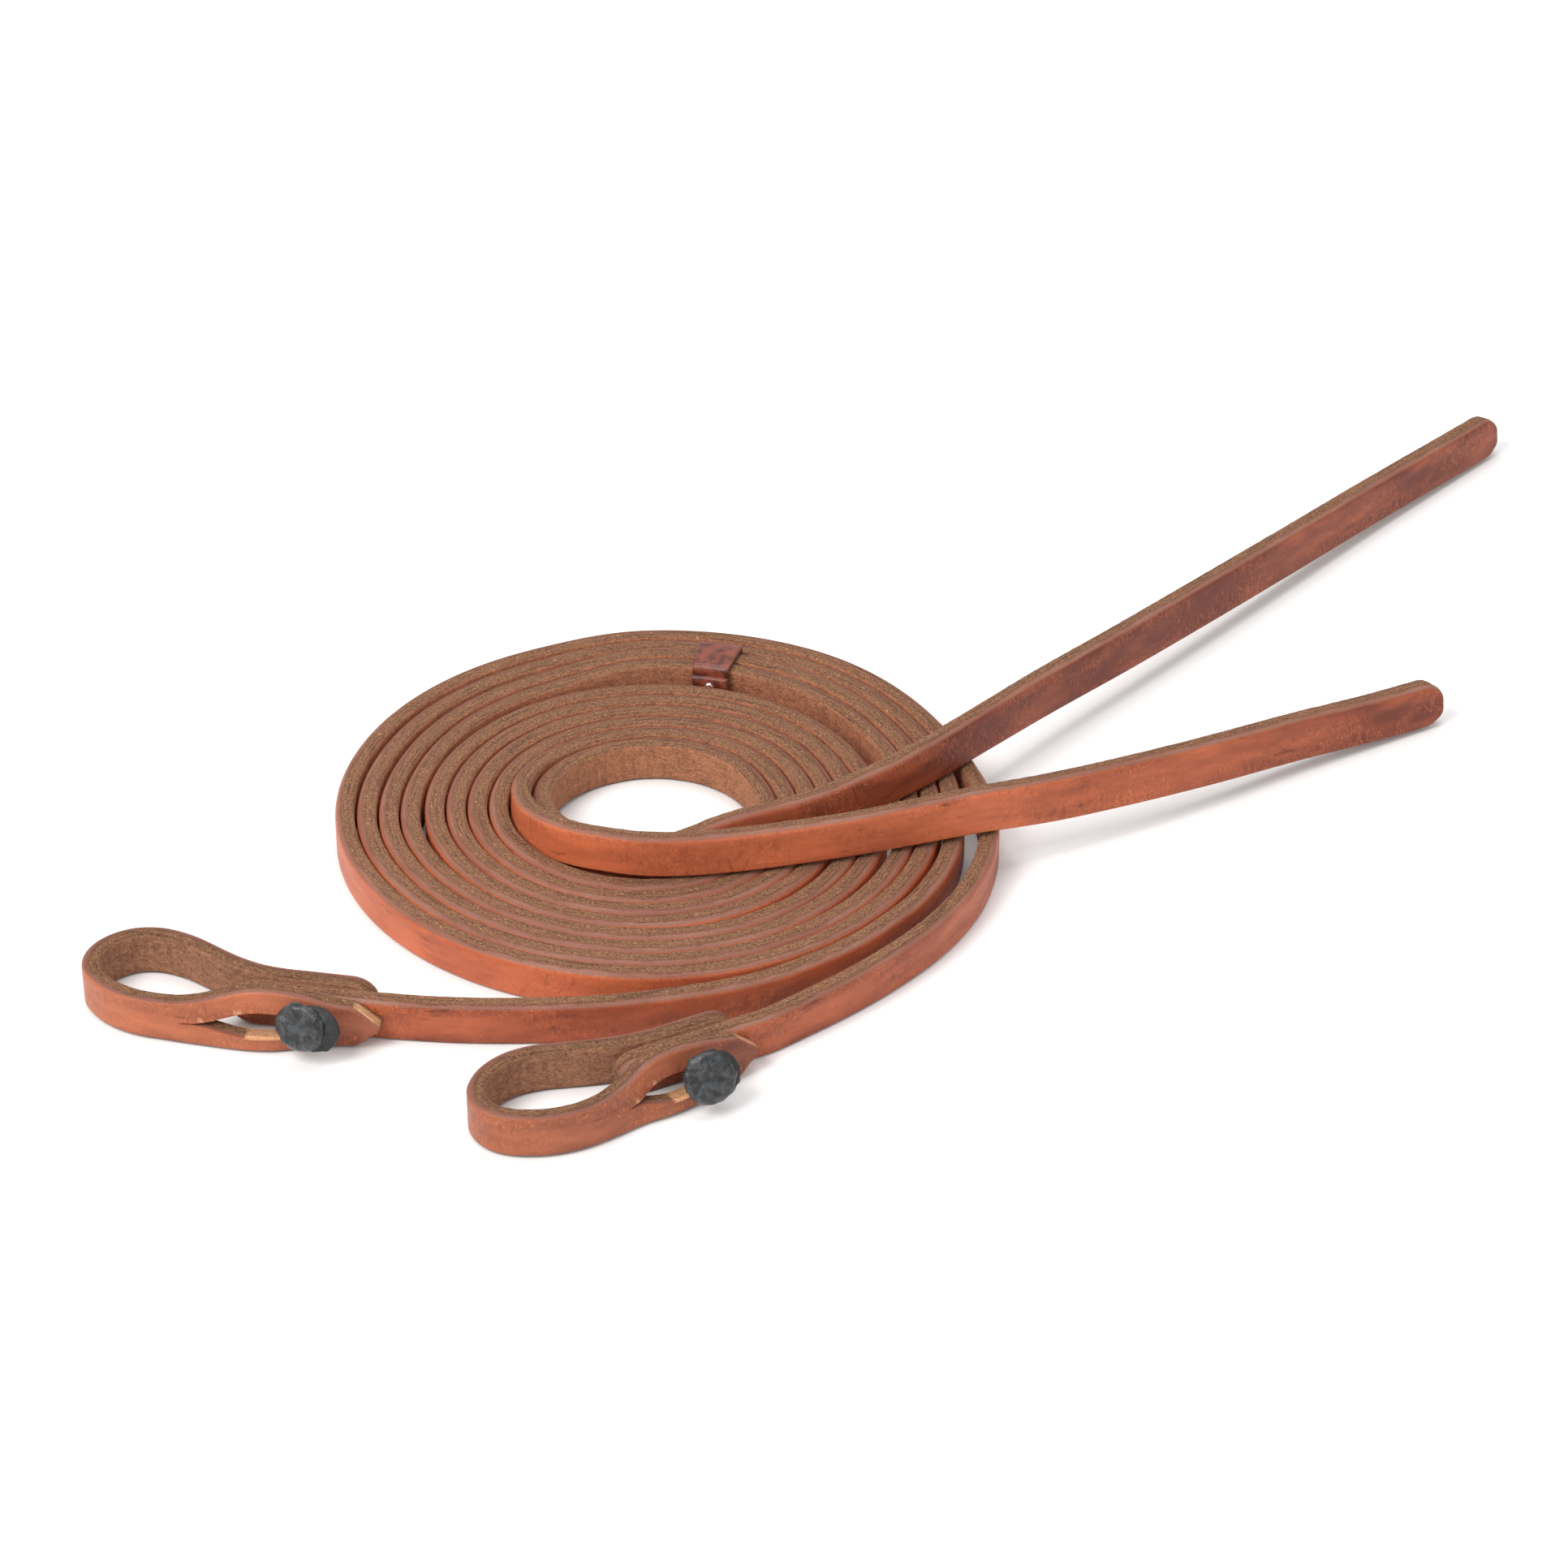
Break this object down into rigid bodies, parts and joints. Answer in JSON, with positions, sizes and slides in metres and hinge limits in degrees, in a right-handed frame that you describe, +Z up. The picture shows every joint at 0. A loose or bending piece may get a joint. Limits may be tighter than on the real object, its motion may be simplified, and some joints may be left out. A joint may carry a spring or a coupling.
{
  "type": "leather split reins",
  "caption": "Pair of leather split reins with buttoned bit loops and a sliding keeper, wound together on edge into a flat coil.",
  "frame": {"origin": "the middle of the whole set's box, on the surface that it lies on", "axes": "+Z up; +X towards the tips of the two tails; the bit loops are at the front, towards -Y"},
  "size_m": [0.424, 0.3812, 0.0253],
  "materials": {
    "harness_leather": "satin",
    "loop_leather": "satin",
    "black_latigo": "gloss",
    "keeper_leather": "satin",
    "rivet_nickel": "polished"
  },
  "bodies": {
    "reins": {"rein_a": "harness_leather", "rein_b": "harness_leather"},
    "bit_end_a": {"bit_loop_a": "loop_leather", "bleed_knot_a": "black_latigo"},
    "bit_end_b": {"bit_loop_b": "loop_leather", "bleed_knot_b": "black_latigo"},
    "keeper": {"keeper_band": "keeper_leather", "keeper_rivet_cap": "rivet_nickel", "keeper_rivet_post": "rivet_nickel"}
  },
  "joints": [
    {"name": "bit_end_a_swing", "type": "hinge", "parent": "reins", "child": "bit_end_a", "pos_m": [-0.15119, -0.13192, 0.0062], "axis": [0.1822, 0.9833, 0], "range_deg": [0, 25]},
    {"name": "bit_end_b_swing", "type": "hinge", "parent": "reins", "child": "bit_end_b", "pos_m": [-0.04789, -0.15402, 0.0062], "axis": [-0.4695, 0.8829, 0], "range_deg": [0, 25]},
    {"name": "keeper_slide", "type": "hinge", "parent": "reins", "child": "keeper", "pos_m": [-0.05889, -0.03912, 0], "axis": [0, 0, 1], "range_deg": [-8, 8]}
  ]
}
